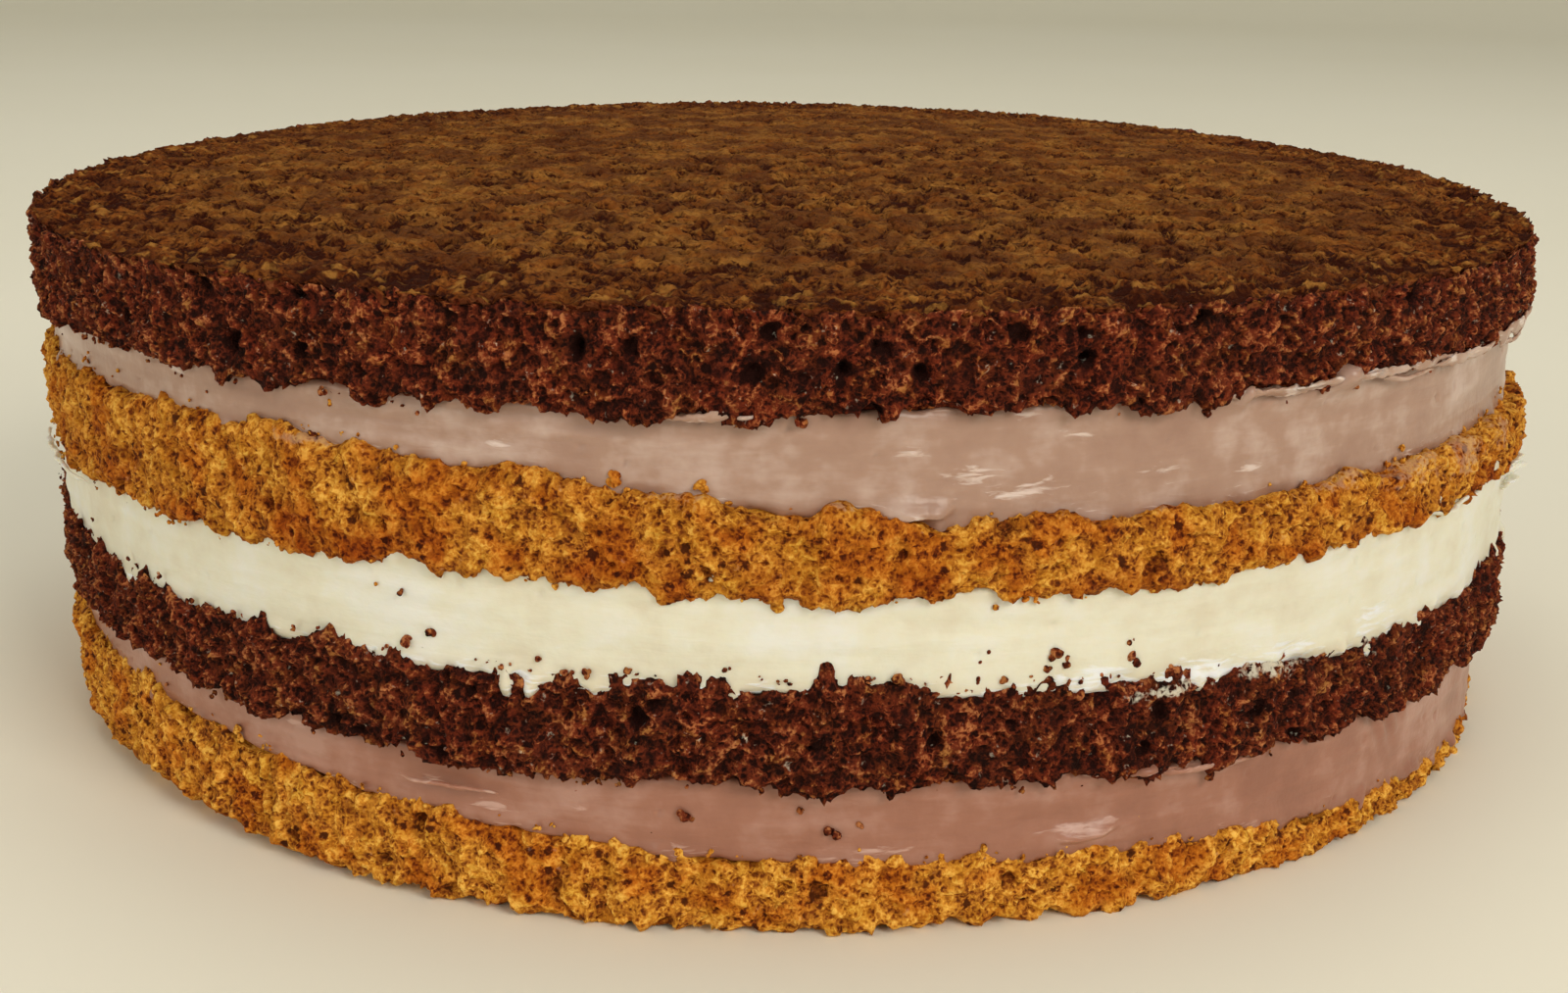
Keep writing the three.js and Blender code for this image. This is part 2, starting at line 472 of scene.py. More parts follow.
def torn_sponge(disc, sizes, coarse, holes=(), smears=(), drops=(), ragged=1.0, furrow=(0.0, 1.0)):
    """A sponge disc with a torn side. coarse is 1 for an open crumb and less for a fine one.

    smears are places with cream from above, and drops are places where the lower edge hangs down. ragged
    is how uneven the upper edge is, and furrow is the depth and the width of upright furrows in mm.
    """
    piece = finished(disc.node + "_crumb", unit_drum(sizes.columns, sizes.rows))
    side = lay_disc(piece, disc, SPONGE_SIDE)
    points = side.points
    below = 1 - side.share
    rag = sizes.rag / MM * side.rim
    if disc is GOLDEN_BASE:
        fringe = np.clip(noise(points * FLAT, 2.0, disc.seed + 63) + 0.3, 0, 1) * side.rim
        points[:, 2] += below * foot_lift(points) + FRINGE * fringe * below ** 5
    else:
        hanging = torn_edge(side, disc.seed) - 0.15 - spotted(side.bearing, 0 * below, drops)
        points[:, 2] += rag * hanging * below ** 3
    if disc is not COCOA_TOP:
        points[:, 2] += rag * ragged * (torn_edge(side, disc.seed + 3) + 0.15) * side.share ** 3
    smear = np.clip(spotted(side.bearing, points[:, 2], smears), 0, 1)
    relief, pore = crumb_relief(side, disc, sizes, coarse, holes, 0.6 * smear)
    furrow_depth, furrow_width = furrow
    relief += furrow_depth * noise(points * (1, 1, 0.25), furrow_width, disc.seed + 60)
    relief = relief * side.rim
    if disc is GOLDEN_BASE:
        relief = relief * smoothstep(0, 0.06, side.share)
    points = swell_out(piece, points, relief)
    if disc is COCOA_TOP:
        inner = smoothstep(disc.radius + 0.2, disc.radius - 1.6, distance_out(points))
        points[:, 2] = np.minimum(points[:, 2], level_height(CAKE_TOP, points) - UNDER_SKIN * inner)
        write_points(piece, points)
    # The pore value is painted shade: the material darkens the crumb with it deep in the pores and in the
    # large holes, up to this cap.
    pore_shade_cap = 2.0 if coarse == OPEN_CRUMB else 0.9
    toasted = smoothstep(-0.3, 0.4, noise(points, 6, disc.seed + 61)) * smoothstep(0.65, 0.1, side.share)
    write_values(
        piece, pore=np.minimum(pore, pore_shade_cap) * side.rim, smear=smear * side.rim,
        toasted=toasted * (disc is GOLDEN_UPPER) * side.rim,
    )
    return piece


def spread_cream(disc, sizes, lips=(), torn_marks_and_glints=(), folds=()):
    """A cream disc with a spread side.

    lips curl out over the sponges, the torn marks are whiter streaks with painted glints on them, and folds
    are pressed into it.
    """
    piece = finished(disc.node + "_spread", unit_drum(sizes.cream_columns, sizes.cream_rows))
    side = lay_disc(piece, disc, CREAM_SIDE, rise=VANILLA_RISE if disc is VANILLA else COCOA_RISE)
    points = side.points
    stretched = points * (0.12, 0.12, 1)
    strokes = noise(stretched, 2.4, disc.seed) + 0.5 * noise(stretched, 1.1, disc.seed + 1)
    swell = noise(points, 18, disc.seed + 2) + 0.5 * noise(points, 7, disc.seed + 3)
    across = np.radians(side.bearing) * RIM
    pits = bubbles(across, points[:, 2], 7, disc.seed + 4, 0.03, 0.08, 0.5, ROUND)
    low_edge = smoothstep(0.22, 0.0, side.share)
    high_edge = smoothstep(0.78, 1.0, side.share)
    ragged = noise(points, 5, disc.seed + 8) + 0.8 * noise(points, 2, disc.seed + 9)
    drag = 0.45 * ragged * (low_edge + high_edge)
    curl = smoothstep(-0.5, 0.5, noise(points, 3, disc.seed + 12)) * spotted(side.bearing, points[:, 2], lips)
    lip = 0.3 * smoothstep(0.55, 1.3, ragged) * (low_edge + high_edge) + curl
    fold = spotted(side.bearing, points[:, 2], folds) * np.sin(across * 1.6 + points[:, 2])
    relief = sizes.spread / MM * (0.6 * strokes + 0.7 * swell + fold) + drag + LIP_REACH * lip - 0.9 * pits
    moved = swell_out(piece, points, relief * side.rim)
    moved[:, 2] += lip * side.rim * LIP_RISE * np.where(side.share > 0.5, 1, -1)
    write_points(piece, moved)
    # The marks lighten the cream towards its light colour: whiter torn cream with painted glints, on the lips
    # too. The vanilla cream grows whiter towards its lower edge, and a cocoa cream has painted glints near
    # its lower edge where it swells out.
    marks = spotted(side.bearing, points[:, 2], torn_marks_and_glints) + 0.35 * curl
    if disc is VANILLA:
        marks += 0.75 * smoothstep(0.25, 0.0, side.share)
    else:
        marks += 0.6 * smoothstep(0.3, 0.08, side.share) * smoothstep(-0.6, 0.5, swell)
    # edge darkens the cream next to the sponges with painted shade and a tint of crumb.
    write_values(
        piece, edge=np.maximum(low_edge, high_edge), torn=np.clip(marks, 0, 1), around=across * MM,
        stroke=np.clip(strokes * 0.5 + 0.5, 0, 1),
    )
    return piece


class Curl(NamedTuple):
    """A torn curl of cream along the side.

    It runs from one bearing to another, so far above a level and out from a radius. wide is its width,
    and tilt is how far it leans out, from 0 for upright to 90 degrees. Sizes are in mm.
    """

    start: float
    end: float
    above: float
    out: float
    wide: float
    tilt: float


def cream_curls(name, disc, level, curls, seed):
    """Thin torn curls of cream that stand out from a cream's side along a level."""
    radius = disc.radius + CURL_STAND
    whole = bmesh.new()
    for k, curl in enumerate(Curl(*row) for row in curls):
        piece = finished("curl", unit_drum(CURL_SIDES, CURL_STEPS))
        unit = read_points(piece) * MM
        along = np.clip(unit[:, 2], 0, 1)
        way = outward(np.radians(curl.start + (curl.end - curl.start) * along))
        ring = way * radius
        taper = 0.06 + 0.94 * np.sqrt(np.sin(math.pi * along).clip(0, 1))
        torn = 1 + 0.7 * noise(ring, 2.2, seed + k) + 0.5 * noise(ring, 0.9, seed + 20 + k)
        across = unit[:, 0] * 0.5 * curl.wide * taper * torn
        thick = unit[:, 1] * 0.5 * CURL_THICK * taper
        tilt = np.radians(curl.tilt + 35 * noise(ring, 4, seed + 40 + k))
        out = radius + curl.out * taper + 0.5 * noise(ring, 3, seed + 60 + k)
        out = out + across * np.sin(tilt) + thick * np.cos(tilt)
        height = level_height(level, ring) + curl.above + 0.6 * noise(ring, 4, seed + 80 + k)
        points = way * out[:, None]
        points[:, 2] = height + across * np.cos(tilt) - thick * np.sin(tilt)
        write_points(piece, points)
        whole.from_mesh(piece.data)
        bpy.data.meshes.remove(piece.data)
    bmesh.ops.recalc_face_normals(whole, faces=whole.faces)
    piece = finished(name, whole)
    points = read_points(piece)
    # The torn value lightens the curls towards the light colour: whiter torn cream with painted glints.
    write_values(
        piece, edge=np.zeros(len(points)), torn=0.4 + 0.6 * noise(points, 1.5, seed),
        around=bearing_of(points) * RIM * MM, stroke=np.full(len(points), 0.5),
    )
    return piece


def round_off(points):
    """Maps a square from -1 to 1 on to a round disc of radius 1, with every face about as large."""
    a, b = points[:, 0], points[:, 1]
    wide = np.abs(a) > np.abs(b)
    radius = np.where(wide, a, b)
    safe = np.where(radius == 0, 1, radius)
    angle = np.where(wide, math.pi / 4 * b / safe, math.pi / 2 - math.pi / 4 * a / safe)
    return np.stack([radius * np.cos(angle), radius * np.sin(angle)], axis=1)


def skin_slab(cells, back):
    """A closed slab over one half of a square from -1 to 1, the back half or the front one."""
    shape = bmesh.new()
    bmesh.ops.create_grid(shape, x_segments=cells, y_segments=cells // 2, size=1)
    for vert in shape.verts:
        vert.co.y = (vert.co.y + (1 if back else -1)) / 2
    for _row in range(SKIN_EDGE_ROWS):
        rim = [edge for edge in shape.edges if edge.is_boundary]
        new = bmesh.ops.extrude_edge_only(shape, edges=rim)["geom"]
        lower = [part for part in new if isinstance(part, bmesh.types.BMVert)]
        bmesh.ops.translate(shape, verts=lower, vec=(0, 0, -1))
    close_hole(shape, [edge for edge in shape.edges if edge.is_boundary])
    bmesh.ops.recalc_face_normals(shape, faces=shape.faces)
    return shape


def baked_skin(sizes, back):
    """Half of the top's baked skin, with pits in it, and an edge that follows the crumb below it.

    The skin is more open towards the front, and worn down to a net of crumb by the rim.
    """
    slab = skin_slab(sizes.skin_cells, back)
    piece = finished("sponge_cocoa_top_skin_" + ("back" if back else "front"), slab)
    unit = read_points(piece) * MM
    flat = round_off(unit)
    out = distance_out(flat)
    down = -unit[:, 2]
    way = outward(bearing_of(flat))
    ring = way * COCOA_TOP.radius
    ring[:, 2] = level_height(CAKE_TOP, ring)
    ragged = 0.9 * noise(ring, 2.4, 71) + 0.8 * noise(ring, 1.1, 72)
    reach = COCOA_TOP.radius - SKIN_INSET + crumb_lumps(ring, COCOA_TOP, sizes) + ragged - 0.35 * down
    points = way * (out * reach)[:, None]
    # A low dome with soft waves and granules
    open_crumb = smoothstep(80, -60, points[:, 1] + 30 * noise(points, 25, 81))
    grains = 0.25 * noise(points, 9, 74) + 0.3 * noise(points, 3.2, 75)
    grains += 0.6 * noise(points, 1.8, 79) + 0.5 * noise(points, 1.25, 89)
    level = level_height(CAKE_TOP, points) + (1 - np.minimum(out, 1) ** 2) * DOME
    level += TOP_WAVE * noise(points, TOP_WAVE_SIZE, 73) * (1 - out ** 4) - 0.5 * smoothstep(0.975, 1, out)
    level += grains * (0.35 + 0.65 * open_crumb)
    # Pits, round holes and thin walls, cut no deeper than half the skin
    pit = sizes.pit / MM
    moved = points + warp(points, pit * 0.4, (76, 77, 78)) * (0.3 * pit, 0.3 * pit, 0)
    spots = noise(moved, pit, 83) + 0.6 * noise(points, 0.5 * pit, 90) + 0.3 * noise(points, 4 * pit, 84)
    holes = bubbles(moved[:, 0], moved[:, 1], 2.6 * pit, 86, 0.1, 0.26, 0.6)
    walls = net(moved, pit * 0.6, 80)
    worn = smoothstep(0.76, 0.96, out + 0.05 * noise(points, 8, 93))
    worn_walls = worn * net(points, 1.9, 94)
    cut = smoothstep(0.05, 0.45, -spots) * (0.4 + 0.6 * open_crumb) + 0.3 * walls
    cut = (cut + 0.6 * worn_walls + 0.9 * holes) * (0.4 + 0.6 * smoothstep(1, 0.985, out))
    cut = np.minimum(cut, 0.5 * sizes.skin / MM)
    # What the material reads: shade is painted shade in the pits, holes and walls, stronger towards the
    # front, plus the red-brown crumb of the worn rim
    shade = (0.35 + 0.6 * open_crumb) * smoothstep(-0.02, 0.28, -spots)
    shade += 1.2 * smoothstep(0.02, 0.5, holes) + 0.2 * walls + 0.25 * worn + 0.4 * worn_walls
    golden = smoothstep(0.25, 0.6, noise(points, 1.7, 91) + 0.4 * noise(points, 0.9, 92))
    flecks = smoothstep(0.8, 0.97, out) * golden
    for x, y in SKIN_FLECKS:
        flecks += np.exp(-((points[:, 0] - x) ** 2 + (points[:, 1] - y) ** 2) / 3)
    points[:, 2] = level - np.where(down > 0, sizes.skin / MM / SKIN_EDGE_ROWS * down, cut)
    write_points(piece, points)
    write_values(
        piece, pore=np.where(down > 0, 0.3, np.clip(shade, 0, 1.6)), wall=np.minimum(down, 1), worn=worn,
        rim=np.clip(flecks, 0, 1) * (down == 0),
    )
    return piece


def add_crumb(shape, draw, bearing, height, out, size):
    """Adds one crumb of a few lumps, at a bearing in degrees and a height and distance out in mm."""
    angle = math.radians(bearing)
    middle = Vector((out * math.sin(angle), -out * math.cos(angle), height))
    small = size < SMALL_CRUMB
    for _lump in range(2 if small else 4):
        centre = (middle + Vector(draw.uniform(-0.3, 0.3, 3)) * size) * MM
        flat = Matrix.Rotation(angle, 4, "Z") @ Matrix.Diagonal((1, 0.6, 1, 1))
        turned = flat @ Euler(draw.uniform(0, 2 * math.pi, 3)).to_matrix().to_4x4()
        stretch = Matrix.Diagonal((*draw.uniform(0.5, 1.2, 3), 1))
        bmesh.ops.create_icosphere(
            shape, subdivisions=1 if small else 2, radius=(0.42 if small else 0.33) * size * MM,
            matrix=Matrix.Translation(centre) @ turned @ stretch,
        )


def clinging_crumbs(name, places, seed):
    """Crumbs that stick to the side: places are rows of bearing, height, distance out and size."""
    whole = bmesh.new()
    draw = np.random.default_rng(seed)
    lot_mesh = bpy.data.meshes.new("lot")
    for start in range(0, len(places), CRUMB_LOT):
        lot = bmesh.new()
        for place in places[start:start + CRUMB_LOT]:
            add_crumb(lot, draw, *place)
        lot.to_mesh(lot_mesh)
        lot.free()
        whole.from_mesh(lot_mesh)
    bpy.data.meshes.remove(lot_mesh)
    piece = finished(name, whole)
    points = read_points(piece)
    bumps = 0.2 * noise(points, 0.9, seed) + 0.14 * noise(points, 0.45, seed + 1)
    swell_out(piece, points, bumps)
    # The pore value paints shade between the lumps, where the bumps dip in, with some random tone.
    write_values(piece, pore=np.clip(0.3 - 1.5 * bumps + 0.3 * noise(points, 4, seed + 2), 0, 1))
    return piece


def crumb_places(level, radius, count, seed, spread, upward):
    """Random places for crumbs along a level, mostly close to it, above it or below it."""
    draw = np.random.default_rng(seed)
    bearings = draw.uniform(-180, 180, count)
    ring = outward(np.radians(bearings)) * RIM
    away = np.minimum(draw.exponential(spread, count), 9)
    heights = level_height(level, ring) + (away if upward else -away)
    sizes = 0.3 + draw.gamma(1.8, 0.26, count)
    return list(zip(bearings, heights, radius - 0.05 * sizes, sizes))


def add_node(tree, kind, inputs=None, stops=None, **settings):
    """Adds one node. inputs maps a socket's name or number to its value or to the output that feeds it.

    A colour is given as red, green and blue. stops are a colour ramp's places and colours.
    """
    made = tree.nodes.new("ShaderNode" + kind)
    for name, value in settings.items():
        setattr(made, name, value)
    for key, value in (inputs or {}).items():
        socket = made.inputs[key]
        if isinstance(value, bpy.types.NodeSocket):
            tree.links.new(value, socket)
        else:
            socket.default_value = (*value, 1) if socket.type == "RGBA" else value
    for k, (place, colour) in enumerate(stops or ()):
        ramp = made.color_ramp.elements
        stop = ramp[k] if k < len(ramp) else ramp.new(place)
        stop.position = place
        stop.color = (*colour, 1)
    return made


def new_material(name):
    """An empty node material, its tree, and the place on a piece that its patterns read."""
    material = bpy.data.materials.new(name)
    material.use_nodes = True
    tree = material.node_tree
    tree.nodes.clear()
    return material, tree, add_node(tree, "TexCoord").outputs["Object"]


def end_material(tree, relief, strength, depth, sockets):
    """Gives a material its shader and a fine relief, depth mm deep. sockets are the shader's own."""
    bump = add_node(tree, "Bump", {"Height": relief, "Strength": strength, "Distance": depth * MM})
    shader = add_node(tree, "BsdfPrincipled", {**sockets, "Normal": bump.outputs["Normal"]})
    add_node(tree, "OutputMaterial", {"Surface": shader.outputs[0]})


def per_mm(size):
    """The scale of a noise texture whose lumps are about size mm across."""
    return 1 / (size * MM)


def crumb_grain(tree, place, size):
    """Fine crumb with cells about size mm wide, drawn as coarse as it needs to show.

    Gives how deep a place lies in a fine pore, a shade for each granule, and a height.
    """
    wobble = add_node(tree, "TexNoise", {"Vector": place, "Scale": per_mm(size), "Detail": 1.0})
    centred = add_node(
        tree, "VectorMath", {0: wobble.outputs["Color"], 1: (0.5, 0.5, 0.5)}, operation="SUBTRACT"
    )
    moved = add_node(
        tree, "VectorMath", {0: centred.outputs[0], 1: (1.6 * size * MM,) * 3, 2: place},
        operation="MULTIPLY_ADD",
    )
    cells = add_node(tree, "TexVoronoi", {"Vector": moved.outputs[0], "Scale": per_mm(size)}, feature="F1")
    away = cells.outputs["Distance"]
    fine = add_node(
        tree, "MapRange", {"Value": away, "From Min": 0.18, "From Max": 0.5, "To Min": 1.0, "To Max": 0.0}
    )
    granule = add_node(tree, "SeparateColor", {"Color": cells.outputs["Color"]})
    return fine.outputs[0], granule.outputs["Red"], away


def weighted_sum(tree, terms, offset=0.0, clamp=False):
    """The sum of values times weights, plus an offset. terms are pairs of an output and its weight.

    clamp holds the sum between 0 and 1.
    """
    total = offset
    for k, (value, weight) in enumerate(terms):
        made = add_node(tree, "Math", {0: value, 1: weight, 2: total}, operation="MULTIPLY_ADD")
        made.use_clamp = clamp and k == len(terms) - 1
        total = made.outputs[0]
    return total


def layered(tree, colour, layers, blend="MIX"):
    """A colour with others laid over it in turn. layers are pairs of a factor and a colour.

    A colour covers the ones below it where its factor is 1, or tints them if blend is MULTIPLY.
    """
    for factor, over in layers:
        mixed = add_node(tree, "Mix", {0: factor, 6: colour, 7: over}, data_type="RGBA", blend_type=blend)
        colour = mixed.outputs[2]
    return colour


def patches(tree, place, size, low, high):
    """Soft patches about size mm across: 0 outside them and 1 inside."""
    cloud = add_node(tree, "TexNoise", {"Vector": place, "Scale": per_mm(size), "Detail": 2.0})
    patch = add_node(tree, "MapRange", {"Value": cloud.outputs["Fac"], "From Min": low, "From Max": high})
    return patch.outputs[0]


def sponge_material(name, colours, bake, cream, opacity, tints, coarse):
    """Baked sponge torn by hand: dry and matte, with painted shade deep in its pores and a painted highlight
    on its torn edges.

    bake names its colours. cream is smeared on it here and there, as thinly as opacity says. tints are the
    two shades of its uneven bake. coarse is 1 for an open crumb and less for a fine one.
    """
    material, tree, place = new_material(name)
    ridge, body, pore = (getattr(colours, f"{bake}_{part}")[:] for part in ("ridge", "body", "pore"))
    depth, smear, toasted = (
        add_node(tree, "Attribute", attribute_name=key).outputs["Fac"] for key in ("pore", "smear", "toasted")
    )
    fine, granule, height = crumb_grain(tree, place, 0.95)
    grain, clots = (
        add_node(tree, "TexNoise", {"Vector": place, "Scale": per_mm(size), "Detail": detail}).outputs["Fac"]
        for size, detail in ((0.45, 2.0), (1.6, 3.0))
    )
    sparse = add_node(tree, "TexVoronoi", {"Vector": place, "Scale": per_mm(2.4)}, feature="F1")
    chance = add_node(tree, "SeparateColor", {"Color": sparse.outputs["Color"]}).outputs["Red"]
    away = weighted_sum(tree, [(sparse.outputs["Distance"], 1.0), (chance, 0.3), (grain, -0.25)], 0.05)
    pinhole = add_node(
        tree, "MapRange", {"Value": away, "From Min": 0.12, "From Max": 0.3, "To Min": 1.0, "To Max": 0.0}
    ).outputs[0]
    # The ramp runs from the ridge colour, a painted highlight, through the body colour to the pore colour and
    # darker: painted shade in the pores, fine pores and pinholes, with random grain and granules mixed in.
    deep = weighted_sum(
        tree, [(depth, 0.8), (fine, 0.2 + 0.3 * coarse), (grain, 0.8), (granule, 0.35), (pinhole, 0.7)], -0.58
    )
    # The deepest painted shade, darker than the pore colour.
    dark = tuple(0.35 * c for c in pore)
    tone = add_node(tree, "ValToRGB", {"Fac": deep}, [(0.0, ridge), (0.3, body), (0.72, pore), (1.0, dark)])
    tinted = layered(tree, tone.outputs["Color"], [
        (patches(tree, place, 7, 0.47, 0.62), tints[0]),
        (patches(tree, place, 3, 0.48, 0.6), tints[1]),
        (toasted, (0.76, 0.54, 0.4)),
    ], "MULTIPLY")
    film = weighted_sum(tree, [(smear, 2.5), (clots, 5.0), (fine, -1.5), (grain, -1.5)], -2.6, clamp=True)
    covered = add_node(tree, "Math", {0: film, 1: opacity}, operation="MULTIPLY").outputs[0]
    smeared = layered(tree, tinted, [(covered, cream)])
    end_material(tree, weighted_sum(tree, [(height, 1.0), (grain, 0.5)]), 0.8 * coarse, 0.5, {
        "Base Color": smeared, "Roughness": 0.85, "Specular IOR Level": 0.12,
    })
    return material


def skin_material(colours):
    """Baked skin of a cocoa sponge: dry and matte, olive-brown, with red-brown pits under painted shade, and
    ochre flecks.

    Its torn edge shows cocoa crumb, with a painted highlight on some granules, painted shade in its fine
    pores, and darker overall by a fixed share.
    """
    material, tree, place = new_material("Baked_cocoa_skin")
    depth, rim, worn, wall = (
        add_node(tree, "Attribute", attribute_name=key).outputs["Fac"]
        for key in ("pore", "rim", "worn", "wall")
    )
    fine, granule, height = crumb_grain(tree, place, 1.1)
    grain = add_node(tree, "TexNoise", {"Vector": place, "Scale": per_mm(0.6), "Detail": 2.0}).outputs["Fac"]
    skin = layered(tree, colours.skin_dark, [(patches(tree, place, 7, 0.4, 0.6), colours.skin_light)])
    skin = layered(tree, skin, [
        (patches(tree, place, 3.5, 0.46, 0.6), (0.74, 0.58, 0.52)),
        (patches(tree, place, 1.4, 0.45, 0.6), (0.78, 0.7, 0.62)),
        (worn, (0.88, 0.72, 0.66)),
    ], "MULTIPLY")
    # The pit colour comes in with the painted shade of the pits and holes, and with the worn crumb by the
    # rim.
    deep = weighted_sum(tree, [(depth, 1.0), (fine, 0.6), (grain, 2.0), (granule, 0.5)], -1.6, clamp=True)
    golden = weighted_sum(tree, [(rim, 0.9), (depth, -0.3), (grain, 0.8)], -0.5, clamp=True)
    lit = add_node(tree, "Math", {0: granule, 1: 0.45}, operation="MULTIPLY").outputs[0]
    torn = layered(tree, colours.cocoa_body, [(lit, colours.cocoa_ridge)])
    torn = layered(tree, torn, [(fine, (0.2, 0.16, 0.16)), (wall, (0.7, 0.7, 0.7))], "MULTIPLY")
    skin = layered(tree, skin, [(deep, colours.skin_pit), (golden, colours.skin_edge), (wall, torn)])
    end_material(tree, weighted_sum(tree, [(height, 1.0), (grain, 0.7)]), 0.8, 0.6, {
        "Base Color": skin, "Roughness": 0.9, "Specular IOR Level": 0.06,
    })
    return material


def cream_material(name, colours, kind, gloss):
    """Spread cream: smooth, soft and a little wet, whiter where it is torn, with painted glints on its torn
    streaks, and darker next to the sponge with painted shade and a tint of crumb.

    kind names its colours.
    """
    material, tree, place = new_material(name)
    body, light, shade = (getattr(colours, kind + part)[:] for part in ("", "_light", "_shade"))
    edge, torn, stroke, around = (
        add_node(tree, "Attribute", attribute_name=key).outputs["Fac"]
        for key in ("edge", "torn", "stroke", "around")
    )
    cloud = add_node(
        tree, "TexNoise", {"Vector": place, "Scale": per_mm(14), "Detail": 4.0, "Roughness": 0.55}
    ).outputs["Fac"]
    mottle, grain = (
        add_node(tree, "TexNoise", {"Vector": place, "Scale": per_mm(size), "Detail": detail}).outputs["Fac"]
        for size, detail in ((4, 3.0), (1.5, 2.0))
    )
    up = add_node(tree, "SeparateXYZ", {"Vector": place}).outputs["Z"]
    along = add_node(tree, "Math", {0: around, 1: STREAK_STRETCH}, operation="MULTIPLY").outputs[0]
    drawn = add_node(tree, "CombineXYZ", {"X": along, "Z": up}).outputs[0]
    streak = add_node(
        tree, "TexNoise", {"Vector": drawn, "Scale": per_mm(0.9), "Detail": 3.0, "Distortion": 0.6}
    ).outputs["Fac"]
    tone = weighted_sum(tree, [(cloud, 1.0), (stroke, 0.15), (mottle, 0.35), (streak, 0.15)], -0.32)
    darker, lighter = (tuple(0.5 * (a + b) for a, b in zip(body, end)) for end in (shade, light))
    base = add_node(tree, "ValToRGB", {"Fac": tone}, [(0.3, darker), (0.5, body), (0.7, lighter)])
    # Darker next to the sponge: painted shade, with a tint of crumb.
    shade_by_sponge = add_node(tree, "Math", {0: edge, 1: 0.6}, operation="MULTIPLY").outputs[0]
    # Torn streaks of whiter cream with painted glints on them; they also raise the bump.
    wisps_and_glints = weighted_sum(tree, [(torn, 2.2), (streak, 6.0)], -4.4, clamp=True)
    end_material(tree, weighted_sum(tree, [(grain, 1.0), (streak, 0.8), (wisps_and_glints, 0.8)]), 0.35, 0.25, {
        "Base Color": layered(tree, base.outputs["Color"], [(shade_by_sponge, shade), (wisps_and_glints, light)]),
        "Roughness": gloss, "Specular IOR Level": 0.45,
        "Subsurface Weight": 0.35, "Subsurface Radius": (2.0, 1.4, 0.9), "Subsurface Scale": MM,
    })
    return material


def floor_material():
    """Matt paint for the stage, warm and pale."""
    material, tree, place = new_material("Matt_pale_paint")
    cloud = add_node(tree, "TexNoise", {"Vector": place, "Scale": 3.0, "Detail": 2.0})
    tone = add_node(
        tree, "ValToRGB", {"Fac": cloud.outputs["Fac"]}, [(0.0, srgb("EFEBDA")), (1.0, srgb("F3F0E2"))]
    )
    shader = add_node(tree, "BsdfPrincipled", {"Base Color": tone.outputs["Color"], "Roughness": 0.8})
    add_node(tree, "OutputMaterial", {"Surface": shader.outputs[0]})
    return material


def golden_material(name, colours, bake="golden"):
    """Golden sponge: a finer crumb than the cocoa sponge's, with a thin film of cocoa cream."""
    return sponge_material(
        name, colours, bake, colours.cocoa_cream, opacity=0.5,
        tints=((0.8, 0.56, 0.36), (0.84, 0.8, 0.6)), coarse=0.65,
    )


def cocoa_material(colours):
    """Cocoa sponge: an open, deep brown crumb, with vanilla cream caught in it."""
    return sponge_material(
        "Torn_cocoa_sponge", colours, "cocoa", colours.vanilla, opacity=0.7,
        tints=((1.0, 0.85, 0.8), (0.82, 0.9, 0.65)), coarse=1.0,
    )


class CAKE_OT_golden_sponges(bpy.types.Operator):
    """Build the two golden sponges"""

    bl_idname = "cake.golden_sponges"
    bl_label = "Golden sponges"

    def execute(self, context):
        sizes, colours = context.scene.cake_sizes, context.scene.cake_colours
        base = torn_sponge(GOLDEN_BASE, sizes, FINE_CRUMB, furrow=(0.7, 1.9))
        pale = golden_material("Torn_pale_golden_sponge", colours, "base")
        belong(base, pale, GOLDEN_BASE.slot, GOLDEN_BASE.node)
        smears = [
            (36, 60.5, 6, 2.0), (44, 59.5, 7, 3.0), (52, 58.5, 6, 4.0), (60, 58, 6, 3.0, 0.8),
            (-6, 63.5, 6, 1.2), (20, 60, 8, 1.2), (4, 62, 6, 1.0), (-30, 65.5, 6, 1.0),
        ]
        drops = [(3.2, 0, 4, 1, 1.1), (-5.8, 0, 5, 1, 0.5), (31, 0, 5, 1, 0.5)]
        upper = torn_sponge(GOLDEN_UPPER, sizes, FINE_CRUMB, smears=smears, drops=drops)
        golden = golden_material("Torn_golden_sponge", colours)
        belong(upper, golden, GOLDEN_UPPER.slot, GOLDEN_UPPER.node)
        return {"FINISHED"}


